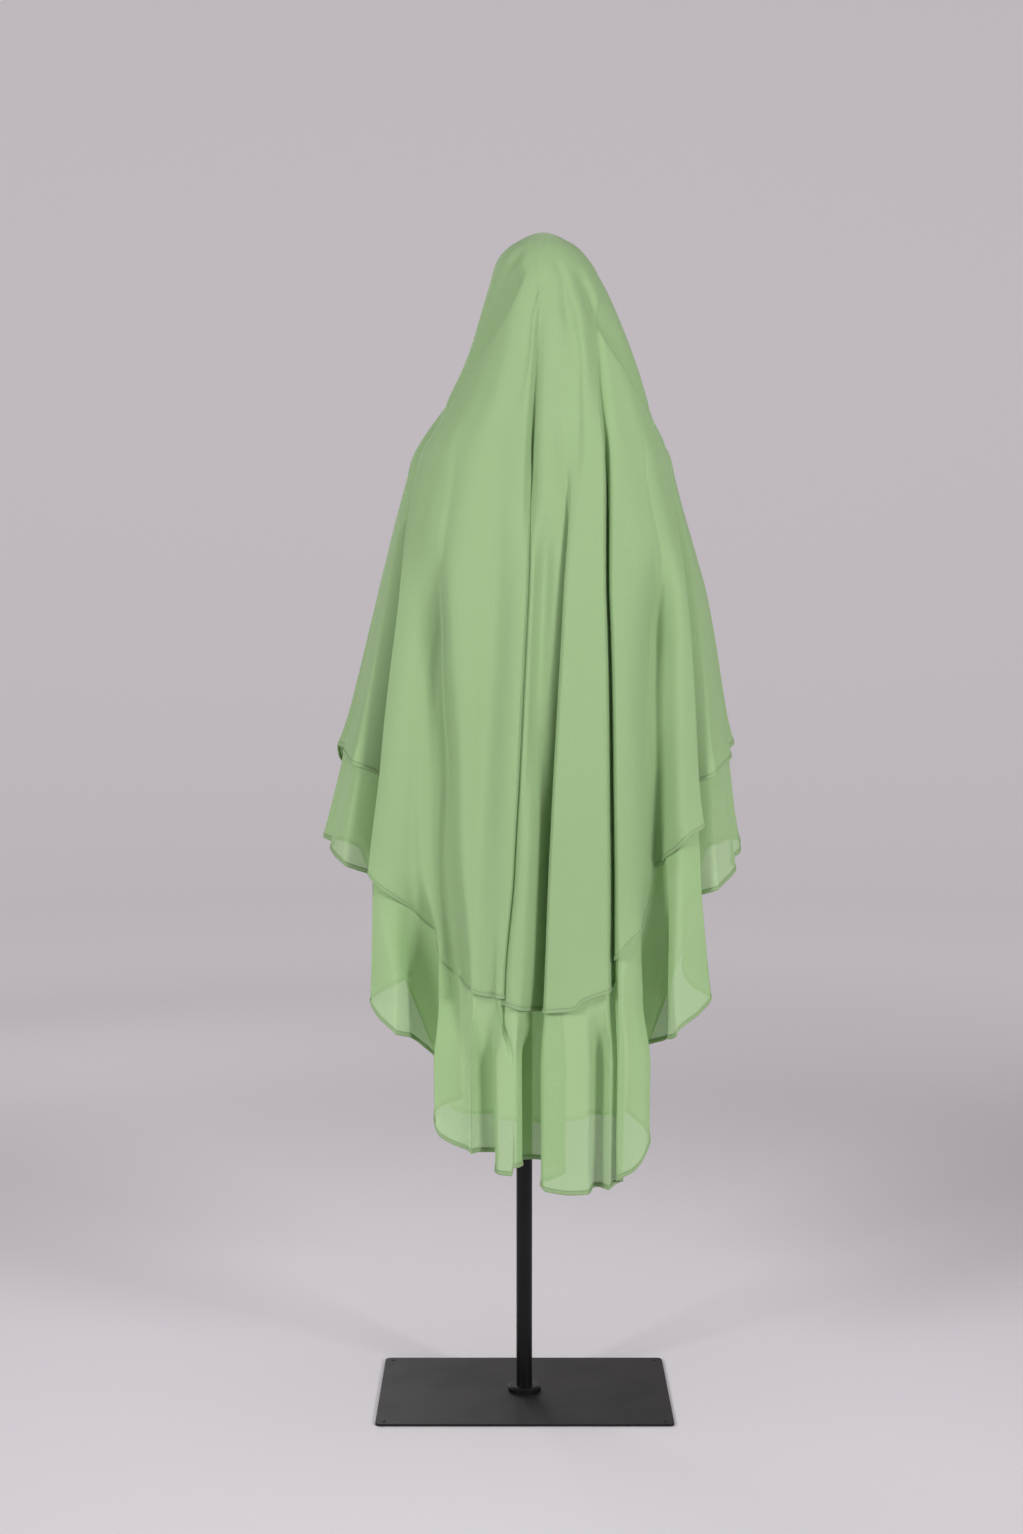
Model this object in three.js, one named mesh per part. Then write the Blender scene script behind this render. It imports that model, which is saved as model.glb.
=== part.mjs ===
// Khimar veil of two layers of thin cloth, hung on a plain floor stand.
// Millimetres, +Z up. The floor is z = 0 and the pole's axis is x = y = 0.
// The wearer faces +Y, so the veil's back looks along -Y, and +X is the wearer's right.
import * as THREE from 'three';

// Rows with named columns
function table(names, rows) {
  return rows.map((row) => Object.fromEntries(names.map((name, i) => [name, row[i]])));
}

// Driving sizes of the cloth's outer form, measured over the cloth
const crownHeight = 1813;
const crownOffset = 28;
const head = { width: 172, depth: 194, drop: 198 };
const shoulders = { width: 416, depth: 272, drop: 378 };
const skirt = { width: 642, depth: 378, drop: 956 };

// Drop of each layer's longest hem, straight down from the crown
const outerDrop = 1166;
const innerDrop = 1424;

// Cloth and its edges
const wall = 1;
const layerGap = 1;
const hemWidth = 8;
const hemProud = 0.3;
const hemSeam = 0.7;
const seam = 0.3;
const foldDepth = 44;
const creaseHalf = 22;
const creaseDepth = 6;

// Face opening, measured along the cloth from the crown's top
const opening = { forehead: 150, length: 210, spread: 340 };
const bindingWidth = 9;

// Stand
const plate = { length: 456, width: 300, thickness: 4, corner: 8, edge: 0.8 };
const pole = { radius: 12.5, dome: 5 };
const collar = { radius: 26, height: 9, rim: 3 };
const stud = { radius: 2.6, height: 1.4, inset: 13 };
const turnedSides = 24;
const studSides = 10;

// Outline of the pole's domed top: shares of its radius out and of its dome below the top
const poleDome = [
  { out: 1, below: 1 },
  { out: 0.8, below: 0.4 },
  { out: 0.42, below: 0.1 },
  { out: 0, below: 0 },
];

// Sections of the form from the crown down, as shares of the size group that each follows:
// drop of its drop, left and right of half its width, back and front of half its depth.
// square pushes a section from an ellipse towards a rounded box.
const sections = table(
  ['name', 'of', 'drop', 'left', 'right', 'back', 'front', 'square'],
  [
    ['crown', head, 0.086, 0.51, 0.51, 0.485, 0.495, 0],
    ['dome', head, 0.222, 0.826, 0.826, 0.784, 0.784, 0],
    ['temple', head, 0.45, 0.988, 1.128, 1.01, 0.99, 0],
    ['jaw', head, 1, 1.395, 1.663, 1.155, 1.072, 0],
    ['neck', shoulders, 0.735, 0.779, 0.827, 0.926, 0.824, 0.02],
    ['slope', shoulders, 0.905, 0.966, 0.947, 1.007, 0.897, 0.04],
    ['corner', shoulders, 1, 1.014, 0.986, 1.051, 0.956, 0.06],
    ['elbow', skirt, 0.593, 0.798, 0.81, 0.873, 0.847, 0.1],
    ['forearm', skirt, 0.836, 0.966, 0.916, 0.963, 0.942, 0.12],
    ['widest', skirt, 1, 1.053, 0.957, 1.016, 0.984, 0.12],
    ['knee', skirt, 1.22, 1.003, 0.972, 1.074, 1.037, 0.1],
    ['calf', skirt, 1.496, 0.953, 0.953, 1.122, 1.069, 0.1],
    ['end', skirt, 1.7, 0.93, 0.93, 1.15, 1.09, 0.1],
  ],
);

// Hanging folds in order round the form. at is a fold's azimuth at the widest section, in degrees
// from the middle of the back, and jaw, elbow and calf are where it runs at those sections.
// half is half its width in degrees. The deep columns are shares of foldDepth at the four sections,
// and a lean above 0 carries the fold's left lip over it, a lean below 0 its right lip.
const folds = table(
  ['name', 'at', 'jaw', 'elbow', 'calf', 'half', 'deepJaw', 'deepElbow', 'deepWidest', 'deepCalf', 'lean'],
  [
    ['frontLeft', -160, -160, -160, -160, 9, 0, 0.2, 0.45, 0.5, 0],
    ['chestLeft', -134, -134, -134, -134, 9, 0, 0.25, 0.5, 0.5, 0],
    ['armLeft', -108, -112, -109, -108, 9, 0, 0.2, 0.45, 0.4, 0],
    ['sleeveLeft', -78, -92, -86, -75, 8, 0, 0.12, 0.3, 0.3, 0],
    ['panelLeft', -55, -74, -65, -55, 8, 0.1, 0.75, 1, 1, -0.75],
    ['wingLeft', -32, -46, -44, -32, 5, 0, 0.05, 0.3, 0.8, -0.5],
    ['softLeft', -21, -30, -29, -21, 5, 0, 0.16, 0.3, 0.2, 0],
    ['spineLeft', -5, -5, -4.5, -3.5, 4, 0.16, 0.55, 0.8, 0.9, 0.8],
    ['spineRight', 2, 14, 5.5, 1.5, 3, 0.12, 0.35, 0.7, 0.15, 0.2],
    ['panelRight', 17, 30, 20, 16, 4.5, 0.12, 0.55, 0.85, 0.85, -0.8],
    ['wingRight', 31, 52, 41, 30.5, 5, 0, 0.15, 0.35, 0.8, 0.5],
    ['softRight', 41, 62, 50, 41, 4, 0, 0.08, 0.3, 0.25, 0],
    ['sideRight', 52, 80, 60, 53, 5.5, 0.1, 0.4, 0.75, 0.9, 0.6],
    ['sleeveRight', 74, 93, 80, 73, 8, 0, 0.25, 0.4, 0.3, 0],
    ['armRight', 106, 112, 107, 106, 9, 0, 0.2, 0.45, 0.4, 0],
    ['chestRight', 134, 134, 134, 134, 9, 0, 0.25, 0.5, 0.5, 0],
    ['frontRight', 160, 160, 160, 160, 9, 0, 0.2, 0.45, 0.5, 0],
  ],
);

// Drop of both hems at the left and right lip of each fold, as shares of outerDrop and innerDrop
const hems = table(
  ['fold', 'outerLeft', 'outerRight', 'innerLeft', 'innerRight'],
  [
    ['frontLeft', 0.93, 0.91, 0.93, 0.91],
    ['chestLeft', 0.86, 0.81, 0.86, 0.8],
    ['armLeft', 0.73, 0.69, 0.71, 0.665],
    ['sleeveLeft', 0.668, 0.674, 0.648, 0.656],
    ['panelLeft', 0.694, 0.812, 0.672, 0.806],
    ['wingLeft', 0.868, 0.9, 0.852, 0.942],
    ['softLeft', 0.916, 0.968, 0.95, 0.96],
    ['spineLeft', 0.98, 0.996, 0.975, 0.975],
    ['spineRight', 0.998, 0.996, 0.985, 1],
    ['panelRight', 0.973, 0.926, 1, 0.992],
    ['wingRight', 0.896, 0.822, 0.976, 0.868],
    ['softRight', 0.8, 0.762, 0.862, 0.822],
    ['sideRight', 0.757, 0.695, 0.815, 0.69],
    ['sleeveRight', 0.688, 0.67, 0.678, 0.66],
    ['armRight', 0.67, 0.71, 0.652, 0.7],
    ['chestRight', 0.81, 0.86, 0.8, 0.86],
    ['frontRight', 0.91, 0.93, 0.91, 0.93],
  ],
);

// Pulled creases over the head, from one place to another. Each place is an azimuth in degrees
// and a length from the crown, as a share of the cloth's length down to the shoulder corner.
// half and deep are shares of the widest crease's half width and of the deepest one's depth.
const creases = table(
  ['name', 'fromAzimuth', 'fromAlong', 'toAzimuth', 'toAlong', 'half', 'deep'],
  [
    ['leftTemple', -39, 0.22, -77, 0.88, 1, 1],
    ['rightTemple', 73, 0.2, 86, 0.9, 1, 1],
    ['rightNape', 50, 0.33, 56, 0.62, 0.7, 0.5],
  ],
);

// Rows of the mesh: shares of the way from the opening's edge to the shoulder corner,
// from there to the outer hem, and from the outer hem to the inner one
const headRows = [0, 0.1, 0.2, 0.3, 0.4, 0.52, 0.66, 0.83];
const outerRows = [0, 0.14, 0.34, 0.56, 0.78, 1];
const innerRows = [0.3, 0.65, 1];

// A leaning lip: where its middle and edges lie across the fold, as shares of the half width,
// and how deep a fold is, as a share of foldDepth, once its lip leans in full
const lip = { middle: 0.7, half: 0.8, fullDepth: 0.62 };

// How far out from a fold's middle its two hem drops hold, as a share of the half width
const hemLip = 0.9;

// Columns of the mesh across a fold, as shares of its half width, and the widest step between
const leaningColumns = [-1, -0.62, -0.3, 0, 0.4, 1];
const evenColumns = [-1, 0, 1];
const widestStep = 11;
const narrowestStep = 1.4;

const degree = Math.PI / 180;

// Smooth curve through rows of x and y that never overshoots between two rows
function curve(xs, ys) {
  const last = xs.length - 1;
  const slopes = xs.slice(1).map((x, i) => (ys[i + 1] - ys[i]) / (x - xs[i]));
  const tangents = xs.map((x, i) => {
    if (i === 0) return slopes[0];
    if (i === last) return slopes[last - 1];
    const before = slopes[i - 1];
    const after = slopes[i];
    return before * after <= 0 ? 0 : (2 * before * after) / (before + after);
  });
  return (x) => {
    if (x <= xs[0]) return ys[0] + (x - xs[0]) * tangents[0];
    if (x >= xs[last]) return ys[last] + (x - xs[last]) * tangents[last];
    const i = xs.findIndex((edge) => x < edge) - 1;
    const step = xs[i + 1] - xs[i];
    const u = (x - xs[i]) / step;
    const rise = u * u * (3 - 2 * u);
    return ys[i] * (1 - rise) + ys[i + 1] * rise
      + step * u * (1 - u) * (tangents[i] * (1 - u) - tangents[i + 1] * u);
  };
}

// Real sizes of each section, with along, the cloth's length down to it from the crown's top
function sizeSections() {
  let along = 0;
  let lastReach = 0;
  let lastDrop = 0;
  return sections.map((section) => {
    const halfWidth = section.of.width / 2;
    const halfDepth = section.of.depth / 2;
    const left = section.left * halfWidth;
    const right = section.right * halfWidth;
    const back = section.back * halfDepth;
    const front = section.front * halfDepth;
    const drop = section.drop * section.of.drop;
    const reach = (left + right + back + front) / 4;
    along += Math.hypot(reach - lastReach, drop - lastDrop);
    lastReach = reach;
    lastDrop = drop;
    return { name: section.name, along, drop, left, right, back, front, square: section.square };
  });
}

const sized = sizeSections();
const alongOf = (name) => sized.find((section) => section.name === name).along;
const cornerAlong = alongOf('corner');

// Curves of the form down the cloth. The sides run straight through the crown's top.
function formCurve(key, mirror) {
  const first = sized[0];
  const xs = [-first.along, 0, ...sized.map((section) => section.along)];
  const ys = [mirror * first[key], 0, ...sized.map((section) => section[key])];
  return curve(xs, ys);
}

const form = {
  drop: formCurve('drop', 1),
  left: formCurve('left', -1),
  right: formCurve('right', -1),
  back: formCurve('back', -1),
  front: formCurve('front', -1),
  square: formCurve('square', 1),
};
const alongAtDrop = curve(
  [0, ...sized.map((section) => section.drop)],
  [0, ...sized.map((section) => section.along)],
);

// Point of the smooth form, before its folds
function formPoint(azimuth, along) {
  const sine = Math.sin(azimuth * degree);
  const cosine = Math.cos(azimuth * degree);
  const square = form.square(along);
  const side = sine < 0 ? form.left(along) : form.right(along);
  const deep = cosine > 0 ? form.back(along) : form.front(along);
  const across = side * sine * (1 + square * cosine * cosine);
  const back = deep * cosine * (1 + square * sine * sine);
  return new THREE.Vector3(crownOffset + across, -back, crownHeight - form.drop(along));
}

// A column's azimuth at each section, carried by the folds that it runs between
const foldPlaces = [-180, ...folds.map((fold) => fold.at), 180];
const paths = ['jaw', 'elbow', 'at', 'calf'].map((key) => (
  curve(foldPlaces, [-180, ...folds.map((fold) => fold[key]), 180])
));
const pathSections = ['jaw', 'elbow', 'widest', 'calf'].map(alongOf);

function azimuthOf(column, along) {
  const azimuths = paths.map((path) => path(column));
  const reach = Math.min(Math.max(along, pathSections[0]), pathSections[3]);
  return curve(pathSections, azimuths)(reach);
}

const deepCurves = folds.map((fold) => curve(
  [0, ...pathSections],
  [0, fold.deepJaw, fold.deepElbow, fold.deepWidest, fold.deepCalf],
));

// How deep the folds lie at a place, and how far their lips lean over them, in degrees
function foldAt(column, along) {
  let depth = 0;
  let lean = 0;
  folds.forEach((fold, i) => {
    const across = (column - fold.at) / fold.half;
    const deep = Math.max(0, deepCurves[i](Math.min(along, pathSections[3])));
    if (Math.abs(across) < 1) {
      depth += deep * foldDepth * (1 + Math.cos(across * Math.PI)) / 2;
    }
    const overLip = (across * Math.sign(fold.lean) + lip.middle) / lip.half;
    if (Math.abs(overLip) < 1) {
      const full = Math.min(1, deep / lip.fullDepth);
      lean += fold.lean * fold.half * full * (1 + Math.cos(overLip * Math.PI)) / 2;
    }
  });
  return { depth, lean };
}

// Flat plan of the cloth round the crown's top: azimuth and along as a place on a disc
function onDisc(azimuth, along) {
  return new THREE.Vector2(along * Math.sin(azimuth * degree), -along * Math.cos(azimuth * degree));
}

const creaseLines = creases.map((crease) => ({
  from: onDisc(crease.fromAzimuth, crease.fromAlong * cornerAlong),
  to: onDisc(crease.toAzimuth, crease.toAlong * cornerAlong),
  half: crease.half * creaseHalf,
  depth: crease.deep * creaseDepth,
}));

function creaseAt(place) {
  return creaseLines.reduce((depth, line) => {
    const way = line.to.clone().sub(line.from);
    const share = place.clone().sub(line.from).dot(way) / way.lengthSq();
    const nearest = line.from.clone().addScaledVector(way, Math.min(1, Math.max(0, share)));
    const away = place.distanceTo(nearest) / line.half;
    return depth + line.depth * Math.exp(-away * away);
  }, 0);
}

// Edge of the face opening on the disc
function openingEdge(azimuth) {
  const middle = opening.forehead + opening.length / 2;
  return new THREE.Vector2(
    (opening.spread / 2) * Math.sin(azimuth * degree),
    middle - (opening.length / 2) * Math.cos(azimuth * degree),
  );
}

// Places down a column: 0 to 1 from the opening's edge to the shoulder corner, then in length
function placeAbove(column, share) {
  const azimuth = azimuthOf(column, cornerAlong);
  const place = openingEdge(azimuth).lerp(onDisc(azimuth, cornerAlong), share);
  const turned = Math.atan2(place.x, -place.y) / degree;
  return { azimuth: turned, along: place.length(), place };
}

// Point of the draped cloth. row is a share above the shoulder corner, or 1 plus a length below it
function drapedPoint(column, row) {
  const above = row < 1;
  const along = above ? placeAbove(column, row).along : cornerAlong + row - 1;
  const fold = foldAt(column, along);
  const leaning = column + fold.lean;
  const spot = above ? placeAbove(leaning, row) : { azimuth: azimuthOf(leaning, along), along };
  const place = above ? spot.place : onDisc(spot.azimuth, along);
  const step = 0.5;
  const point = formPoint(spot.azimuth, spot.along);
  const round = formPoint(spot.azimuth + step, spot.along).sub(formPoint(spot.azimuth - step, spot.along));
  const down = formPoint(spot.azimuth, spot.along + step).sub(formPoint(spot.azimuth, spot.along - step));
  const inward = round.cross(down).normalize();
  return point.addScaledVector(inward, fold.depth + creaseAt(place));
}

// Length of cloth from the shoulder corner down to a layer's hem
function hemCurve(layer, drop) {
  const columns = [-180];
  const lengths = [];
  const lengthAt = (share) => alongAtDrop(share * drop) - cornerAlong;
  const edge = lengthAt(hems[0][`${layer}Left`]);
  lengths.push(edge);
  hems.forEach((hem, i) => {
    const fold = folds[i];
    columns.push(fold.at - fold.half * hemLip, fold.at + fold.half * hemLip);
    lengths.push(lengthAt(hem[`${layer}Left`]), lengthAt(hem[`${layer}Right`]));
  });
  columns.push(180);
  lengths.push(edge);
  return curve(columns, lengths);
}

const outerHemAt = hemCurve('outer', outerDrop);
const innerHemAt = hemCurve('inner', innerDrop);

// Columns all the way round: across every fold, and evenly between folds
function spreadColumns() {
  const kept = [];
  folds.forEach((fold) => {
    const shares = fold.lean === 0 ? evenColumns : leaningColumns;
    const side = fold.lean > 0 ? -1 : 1;
    shares.forEach((share) => kept.push(fold.at + side * share * fold.half));
  });
  kept.push(-180);
  kept.sort((a, b) => a - b);
  const columns = [];
  kept.forEach((column) => {
    const last = columns[columns.length - 1];
    if (last !== undefined && column - last < narrowestStep) return;
    const steps = last === undefined ? 1 : Math.ceil((column - last) / widestStep);
    for (let i = 1; i < steps; i += 1) columns.push(last + ((column - last) * i) / steps);
    columns.push(column);
  });
  const last = columns[columns.length - 1];
  const closing = Math.ceil((180 - last) / widestStep);
  for (let i = 1; i < closing; i += 1) columns.push(last + ((180 - last) * i) / closing);
  return columns;
}

const columns = spreadColumns();

// How much longer a band across a slanting hem is, measured down the column, than its width
function slantAt(i, hemAt) {
  const neighbours = [columns[i - 1], columns[i + 1]].filter((column) => column !== undefined);
  const slants = neighbours.map((column) => {
    const row = 1 + (hemAt(columns[i]) + hemAt(column)) / 2;
    const run = drapedPoint(columns[i], row).distanceTo(drapedPoint(column, row));
    return Math.hypot(1, (hemAt(column) - hemAt(columns[i])) / run);
  });
  return Math.max(...slants);
}

// Places of the cloth at every column, from the face opening down to the end of the inner hem,
// in rows that both layers share, so that the layers and their hems stay parallel everywhere
function clothRows(column, i) {
  const outerHem = outerHemAt(column);
  const innerHem = innerHemAt(column);
  const outerBandEnd = outerHem + (hemSeam + hemWidth) * slantAt(i, outerHemAt);
  const innerBandEnd = innerHem + (hemSeam + hemWidth) * slantAt(i, innerHemAt);
  const below = [
    ...outerRows.map((share) => share * outerHem),
    outerBandEnd,
    ...innerRows.map((share) => outerBandEnd + share * (innerHem - outerBandEnd)),
    innerBandEnd,
  ];
  return [...headRows, ...below.map((length) => 1 + length)].map((row) => drapedPoint(column, row));
}

const grid = columns.map(clothRows);
const openingRow = 0;
const outerHemRow = headRows.length + outerRows.length - 1;
const innerHemRow = outerHemRow + 1 + innerRows.length;

// Outward direction at each place, from the faces that meet there
function gridDirections() {
  const directions = grid.map((rows) => rows.map(() => new THREE.Vector3()));
  const addFace = (...corners) => {
    const [a, b, c] = corners.map(([i, j]) => grid[i][j]);
    const face = c.clone().sub(a).cross(b.clone().sub(a));
    corners.forEach(([i, j]) => directions[i][j].add(face.clone().normalize()));
  };
  grid.forEach((rows, i) => {
    const next = (i + 1) % grid.length;
    for (let j = 0; j < rows.length - 1; j += 1) {
      addFace([i, j], [next, j], [next, j + 1]);
      addFace([i, j], [next, j + 1], [i, j + 1]);
    }
  });
  directions.forEach((rows) => rows.forEach((direction) => direction.normalize()));
  return directions;
}

const directions = gridDirections();

// A place of the grid, or between two of its rows, with its outward direction
function placeAt(column, row) {
  const before = Math.max(0, Math.min(Math.floor(row), grid[column].length - 2));
  const share = row - before;
  return {
    point: grid[column][before].clone().lerp(grid[column][before + 1], share),
    outward: directions[column][before].clone().lerp(directions[column][before + 1], share).normalize(),
  };
}

// Closed ring solid round the form: at each column a section runs down the outer face, across an
// edge, up the inner face and back. Faces are split the same way on both sides of the cloth.
function ringGeometry(sectionAt, outerFace, innerFace) {
  const ring = columns.map((column, i) => {
    const places = sectionAt(i);
    const face = (depth) => places.map(({ point, outward }) => (
      point.clone().addScaledVector(outward, -depth)
    ));
    return [...face(outerFace), ...face(innerFace).reverse()];
  });
  const sides = ring[0].length;
  const positions = ring.flatMap((section) => section.flatMap((point) => point.toArray()));
  const index = [];
  ring.forEach((section, i) => {
    const next = (i + 1) % ring.length;
    section.forEach((point, j) => {
      const after = (j + 1) % sides;
      const a = i * sides + j;
      const b = next * sides + j;
      const c = next * sides + after;
      const d = i * sides + after;
      if (j < sides / 2) index.push(a, c, b, a, d, c);
      else index.push(a, d, b, b, d, c);
    });
  });
  const geometry = new THREE.BufferGeometry();
  geometry.setAttribute('position', new THREE.Float32BufferAttribute(positions, 3));
  geometry.setIndex(index);
  geometry.computeVertexNormals();
  return geometry;
}

const outerFaces = [0, wall];
const innerFaces = [wall + layerGap, 2 * wall + layerGap];

// A layer of cloth from the face opening down to its hem
function layer(hemRow, faces) {
  const rows = Array.from({ length: hemRow - openingRow + 1 }, (_, i) => openingRow + i);
  return ringGeometry((column) => rows.map((row) => placeAt(column, row)), ...faces);
}

// Turned and stitched edge under a layer
function hemBand(hemRow, faces) {
  const start = hemRow + hemSeam / (hemSeam + hemWidth);
  const sectionAt = (column) => [placeAt(column, start), placeAt(column, hemRow + 1)];
  return ringGeometry(sectionAt, faces[0] - hemProud, faces[1] + hemProud);
}

// Folded strip that joins both layers round the face opening
function faceBinding() {
  const sectionAt = (column) => {
    const { point, outward } = placeAt(column, openingRow);
    const inwards = point.clone().sub(grid[column][openingRow + 1]).normalize();
    const at = (distance) => ({ point: point.clone().addScaledVector(inwards, distance), outward });
    return [at(seam + bindingWidth), at(seam)];
  };
  return ringGeometry(sectionAt, outerFaces[0] - hemProud, innerFaces[1] + hemProud);
}

// Materials
const cloth = (color) => new THREE.MeshStandardMaterial({ color, roughness: 0.9, metalness: 0 });
const outerCloth = cloth(0xa1bd8c);
const innerCloth = cloth(0xaec79d);
const hemCloth = cloth(0x93b07d);
innerCloth.side = THREE.DoubleSide;
const standPaint = new THREE.MeshStandardMaterial({ color: 0x3b3a3c, roughness: 0.45, metalness: 0.6 });
const polePaint = new THREE.MeshStandardMaterial({ color: 0x1c1c1e, roughness: 0.4, metalness: 0.5 });

const part = new THREE.Group();

function addPiece(name, geometry, material) {
  const mesh = new THREE.Mesh(geometry, material);
  mesh.name = name;
  part.add(mesh);
  return mesh;
}

// Lathe solid about the pole's axis, from [radius, height] corners that start and end on the axis
function turned(profile, sides) {
  const points = profile.map(([radius, height]) => new THREE.Vector2(radius, height));
  return new THREE.LatheGeometry(points, sides).rotateX(Math.PI / 2);
}

// Heavy flat plate with rounded corners and a small bevel all round
function basePlate() {
  const halfLength = plate.length / 2 - plate.edge;
  const halfWidth = plate.width / 2 - plate.edge;
  const corner = plate.corner - plate.edge;
  const outline = new THREE.Shape();
  outline.absarc(halfLength - corner, halfWidth - corner, corner, 0, Math.PI / 2);
  outline.absarc(corner - halfLength, halfWidth - corner, corner, Math.PI / 2, Math.PI);
  outline.absarc(corner - halfLength, corner - halfWidth, corner, Math.PI, Math.PI * 1.5);
  outline.absarc(halfLength - corner, corner - halfWidth, corner, Math.PI * 1.5, Math.PI * 2);
  const geometry = new THREE.ExtrudeGeometry(outline, {
    depth: plate.thickness - 2 * plate.edge,
    bevelThickness: plate.edge,
    bevelSize: plate.edge,
    bevelSegments: 1,
    curveSegments: 4,
  });
  return geometry.translate(0, 0, plate.edge);
}

// Flange round the pole's foot
function poleCollar() {
  const bore = pole.radius + seam;
  const foot = plate.thickness + seam;
  return turned([
    [bore, foot],
    [collar.radius, foot],
    [collar.radius, foot + collar.height - collar.rim],
    [collar.radius - collar.rim, foot + collar.height],
    [bore, foot + collar.height],
    [bore, foot],
  ], turnedSides);
}

// Height of the cloth's underside over a place, read from the inner layer's faces,
// with a ray that starts inside the veil, at the height of the shoulder corners
function undersideAt(cloth, x, y) {
  const start = new THREE.Vector3(x, y, crownHeight - shoulders.drop);
  const ray = new THREE.Raycaster(start, new THREE.Vector3(0, 0, 1));
  const hits = ray.intersectObject(cloth);
  return hits.length ? hits[0].point.z : crownHeight;
}

// Plain pole up to the crown, with a low domed top that carries the cloth
function standPole(cloth) {
  const foot = plate.thickness + seam;
  const dome = poleDome.map(({ out, below }) => [out * pole.radius, below * pole.dome]);
  const heights = dome.flatMap(([radius, below]) => Array.from({ length: turnedSides }, (_, i) => {
    const turn = (i * 2 * Math.PI) / turnedSides;
    return undersideAt(cloth, radius * Math.cos(turn), radius * Math.sin(turn)) + below;
  }));
  const top = Math.min(...heights) - seam;
  const cap = dome.map(([radius, below]) => [radius, top - below]);
  return turned([[0, foot], [pole.radius, foot], ...cap], turnedSides);
}

function cornerStud(x, y) {
  const foot = plate.thickness + seam;
  const profile = turned([
    [0, foot],
    [stud.radius, foot],
    [stud.radius * 0.75, foot + stud.height * 0.75],
    [0, foot + stud.height],
  ], studSides);
  return profile.translate(x, y, 0);
}

addPiece('outer_layer', layer(outerHemRow, outerFaces), outerCloth);
const innerMesh = addPiece('inner_layer', layer(innerHemRow, innerFaces), innerCloth);
addPiece('outer_hem', hemBand(outerHemRow, outerFaces), hemCloth);
addPiece('inner_hem', hemBand(innerHemRow, innerFaces), hemCloth);
addPiece('face_binding', faceBinding(), hemCloth);
addPiece('base_plate', basePlate(), standPaint);
addPiece('collar', poleCollar(), polePaint);
innerMesh.updateMatrixWorld();
addPiece('pole', standPole(innerMesh), polePaint);

const studX = plate.length / 2 - stud.inset;
const studY = plate.width / 2 - stud.inset;
[[-1, -1], [1, -1], [1, 1], [-1, 1]].forEach(([sideX, sideY], i) => {
  addPiece(`corner_stud_${i + 1}`, cornerStud(sideX * studX, sideY * studY), polePaint);
});

export default part;
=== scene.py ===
# A khimar veil of two layers of crepe chiffon, hanging in folds on a plain floor stand.
# Metres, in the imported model's frame: the floor is z = 0, the pole stands at x = y = 0,
# and the veil's back looks along -Y.
import math
import bmesh
import bpy
import numpy as np
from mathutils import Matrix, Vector


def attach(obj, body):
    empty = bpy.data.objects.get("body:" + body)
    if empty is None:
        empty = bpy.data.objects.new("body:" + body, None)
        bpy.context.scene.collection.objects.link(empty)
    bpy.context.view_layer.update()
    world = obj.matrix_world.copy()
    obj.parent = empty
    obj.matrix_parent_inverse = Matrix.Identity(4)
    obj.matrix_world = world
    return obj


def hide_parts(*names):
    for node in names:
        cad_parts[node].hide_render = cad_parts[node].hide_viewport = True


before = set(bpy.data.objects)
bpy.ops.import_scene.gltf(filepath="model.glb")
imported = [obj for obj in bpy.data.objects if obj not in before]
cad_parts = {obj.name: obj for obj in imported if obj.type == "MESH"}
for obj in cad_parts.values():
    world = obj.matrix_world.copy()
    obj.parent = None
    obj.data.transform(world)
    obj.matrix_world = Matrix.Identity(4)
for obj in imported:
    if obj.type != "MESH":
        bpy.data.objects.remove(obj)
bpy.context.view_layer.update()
scene = bpy.context.scene
print("frame loaded:", ", ".join(sorted(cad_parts)))

camera = {
    "place": (-0.0202, -3.46, 1.2535),
    "downwards": 4.28,  # degrees
    "lens": 52.4,  # mm, on a 36 mm sensor along the photograph's long side
}


def setCamera():
    data = bpy.data.cameras.new("camera")
    data.lens = camera["lens"]
    data.sensor_width = 36
    data.clip_end = 60
    holder = bpy.data.objects.new("camera", data)
    holder.location = camera["place"]
    holder.rotation_euler = (math.radians(90 - camera["downwards"]), 0, 0)
    scene.collection.objects.link(holder)
    scene.camera = holder


setCamera()
scene.view_settings.view_transform = "Standard"


class Wire:
    # One socket of a material's nodes. Maths on wires adds Math nodes.
    def __init__(self, tree, socket):
        self.tree = tree
        self.socket = socket

    def node(self, kind, settings=None, sockets=None, output=0):
        made = self.tree.nodes.new(kind)
        for key, value in (settings or {}).items():
            if key == "stops":
                setStops(made.color_ramp, value)
            else:
                setattr(made, key, value)
        for key, value in (sockets or {}).items():
            if isinstance(value, Wire):
                self.tree.links.new(value.socket, made.inputs[key])
            else:
                made.inputs[key].default_value = value
        return Wire(self.tree, made.outputs[output]) if made.outputs else made

    def maths(self, operation, *values):
        return self.node("ShaderNodeMath", {"operation": operation}, dict(enumerate(values)))

    def __add__(self, other):
        return self.maths("ADD", self, other)

    def __mul__(self, other):
        return self.maths("MULTIPLY", self, other)

    __radd__ = __add__
    __rmul__ = __mul__


def setStops(ramp, stops):
    # stops: (position, grey)
    for element, (position, grey) in zip(ramp.elements, stops):
        element.position = position
        element.color = (grey, grey, grey, 1)


def linear(colour):
    # An sRGB colour of 0 to 255 as Blender's own linear one
    shares = [v / 255 for v in colour]
    return tuple(v / 12.92 if v < 0.04045 else ((v + 0.055) / 1.055) ** 2.4 for v in shares) + (1,)


def newMaterial(name):
    material = bpy.data.materials.new(name)
    material.use_nodes = True
    material.node_tree.nodes.clear()
    return material, Wire(material.node_tree, None)


def mixColour(wires, factor, first, second):
    return wires.node("ShaderNodeMix", {"data_type": "RGBA"}, {0: factor, 6: first, 7: second}, 2)


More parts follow.
